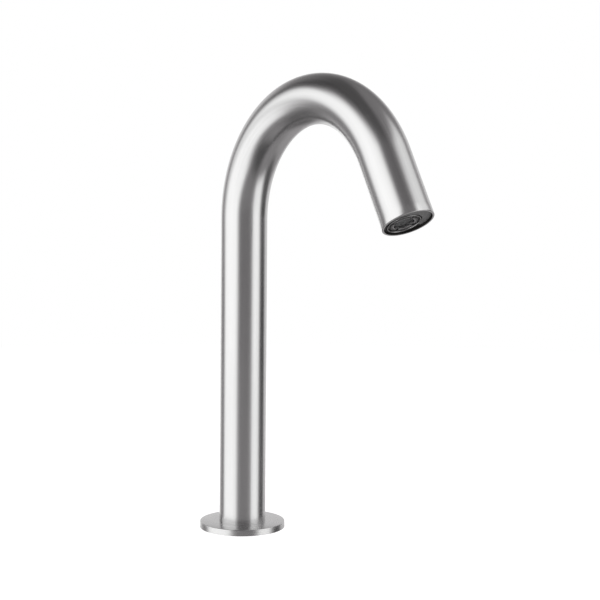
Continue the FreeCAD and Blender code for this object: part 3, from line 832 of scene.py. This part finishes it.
def makeFloor():
    g = ground
    pick()
    bpy.ops.mesh.primitive_circle_add(vertices=96, radius=g["hole"], fill_type="NOTHING")
    floor = bpy.context.object
    floor.name = "floor"
    editAll(floor)
    extrude((0, 0, 0))
    bpy.ops.transform.resize(value=(g["radius"] / g["hole"],) * 3)
    leaveEdit()
    if floor.data.polygons[0].normal.z < 0:
        editAll(floor)
        bpy.ops.mesh.flip_normals()
        leaveEdit()
    material, tree = newMaterial("paleFloor")
    seen, mirrored = addNode(tree, "ShaderNodeLightPath").outputs("Is Camera Ray", "Is Glossy Ray")
    below = addNode(tree, "ShaderNodeNewGeometry", output="Backfacing")
    shade = mixColour(tree, noise(objectPoint(tree), g["patchScale"]), g["shade"], g["patch"])
    matt = addNode(tree, "ShaderNodeBsdfDiffuse", None, {"Color": shade})
    glow = addNode(tree, "ShaderNodeEmission", None, {"Color": (1, 1, 1, 1), "Strength": seen * g["glow"]})
    lit = addNode(tree, "ShaderNodeAddShader", None, {0: matt, 1: glow})
    clear = addNode(tree, "ShaderNodeBsdfTransparent")
    hidden = maths("MAXIMUM", below, mirrored * g["unseenByMetal"])
    both = addNode(tree, "ShaderNodeMixShader", None, {0: hidden, 1: lit, 2: clear})
    addNode(tree, "ShaderNodeOutputMaterial", None, {"Surface": both})
    floor.data.materials.append(material)


# softboxes and dark flags round the tap, painted one over the other, in degrees round from the camera's side
# and degrees up: their middle, their half width, how soft their edges are, and their level
lightZones = {
    "ceilingRight": ((98, 70), (75, 22), (15, 8), 0.26),
    "underside": ((0, -90), (180, 32), (1, 8), 0.30),
    "underFront": ((-15, -70), (48, 22), (20, 8), 0.03),
    "backWall": ((172, 5), (52, 22), (12, 10), 0.88),
    "backGlow": ((-162, -5), (12, 9), (8, 6), 1.5),
    "backFloor": ((-150, -39), (32, 17), (10, 8), 0.10),
    "sideFloor": ((154, -39), (26, 19), (10, 8), 0.42),
    "rightShade": ((124, 22), (9, 9), (6, 6), 0.33),
    "leftFlag": ((-124, 40), (15, 24), (7, 10), 0.08),
    "leftWing": ((-104, 17), (15, 14), (8, 8), 1.6),
    "lowWing": ((-96, -15), (10, 22), (8, 8), 1.5),
    "leftBox": ((-64, 1), (34, 39), (10, 10), 1.65),
    "rightBox": ((63, 3), (21, 47), (8, 10), 1.5),
    "rightWing": ((90, 36), (24, 19), (8, 10), 1.15),
    "rightFlag": ((107, -22), (16, 24), (7, 8), 0.04),
}
# the rest of the room: its levels, and the tint that it has where it is dim
room = {
    "front": 0.24,
    "ceiling": 0.10,
    "ceilingFrom": 38.0,
    "ceilingTo": 60.0,
    "diffuse": 0.55,
    "tint": (1.0, 0.962, 0.982),
    "tintBelow": 0.2,
    "whiteAbove": 1.2,
}


def makeWorld():
    world = bpy.data.worlds.new("studio")
    scene.world = world
    world.use_nodes = True
    tree = world.node_tree
    tree.nodes.clear()
    x, y, z = axes(addNode(tree, "ShaderNodeTexCoord", output="Generated"))
    facing = math.atan2(view["place"][1], view["place"][0])
    ahead = x * math.cos(facing) + y * math.sin(facing)
    aside = y * math.cos(facing) - x * math.sin(facing)
    around = maths("ARCTAN2", aside, ahead) * math.degrees(1)
    upwards = maths("ARCSINE", z) * math.degrees(1)
    above = upwards.ramp(room["ceilingFrom"], room["ceilingTo"])
    level = room["front"] + above * (room["ceiling"] - room["front"])
    for middle, half, soft, strength in lightZones.values():
        turn = maths("WRAP", around - middle[0], 180.0, -180.0)
        zone = turn.within(half[0], soft[0]) * (upwards - middle[1]).within(half[1], soft[1])
        level = level + zone * (strength - level)
    rays = addNode(tree, "ShaderNodeLightPath")
    mirrored, seen, through = rays.outputs("Is Glossy Ray", "Is Camera Ray", "Is Transmission Ray")
    white = seen + through
    strength = mirrored * level + white + (1 - mirrored - white) * room["diffuse"]
    bright = maths("MAXIMUM", white, level.ramp(room["tintBelow"], room["whiteAbove"]))
    colour = mixColour(tree, bright, room["tint"], grey(1.0))
    background = addNode(tree, "ShaderNodeBackground", None, {"Color": colour, "Strength": strength})
    addNode(tree, "ShaderNodeOutputWorld", None, {"Surface": background})


# square lamps, for what isn't mirrored
lamps = {
    "overhead": {"place": (-0.1, -0.3, 1.3), "target": (0, -0.05, 0.1), "size": 1.0, "power": 9.0},
    "fromBelow": {"place": (-0.3, -0.6, -0.8), "target": (0, 0, 0), "size": 0.8, "power": 5.0},
}


def makeLamp(name, place, target, size, power):
    lamp = bpy.data.lights.new(name, "AREA")
    lamp.size = size
    lamp.energy = power
    holder = bpy.data.objects.new(name, lamp)
    scene.collection.objects.link(holder)
    holder.location = place
    holder.rotation_mode = "QUATERNION"
    holder.rotation_quaternion = (Vector(target) - Vector(place)).to_track_quat("-Z", "Y")
    holder.visible_glossy = False


makeFloor()
makeWorld()
for name, lamp in lamps.items():
    makeLamp(name, **lamp)
print("studio made")
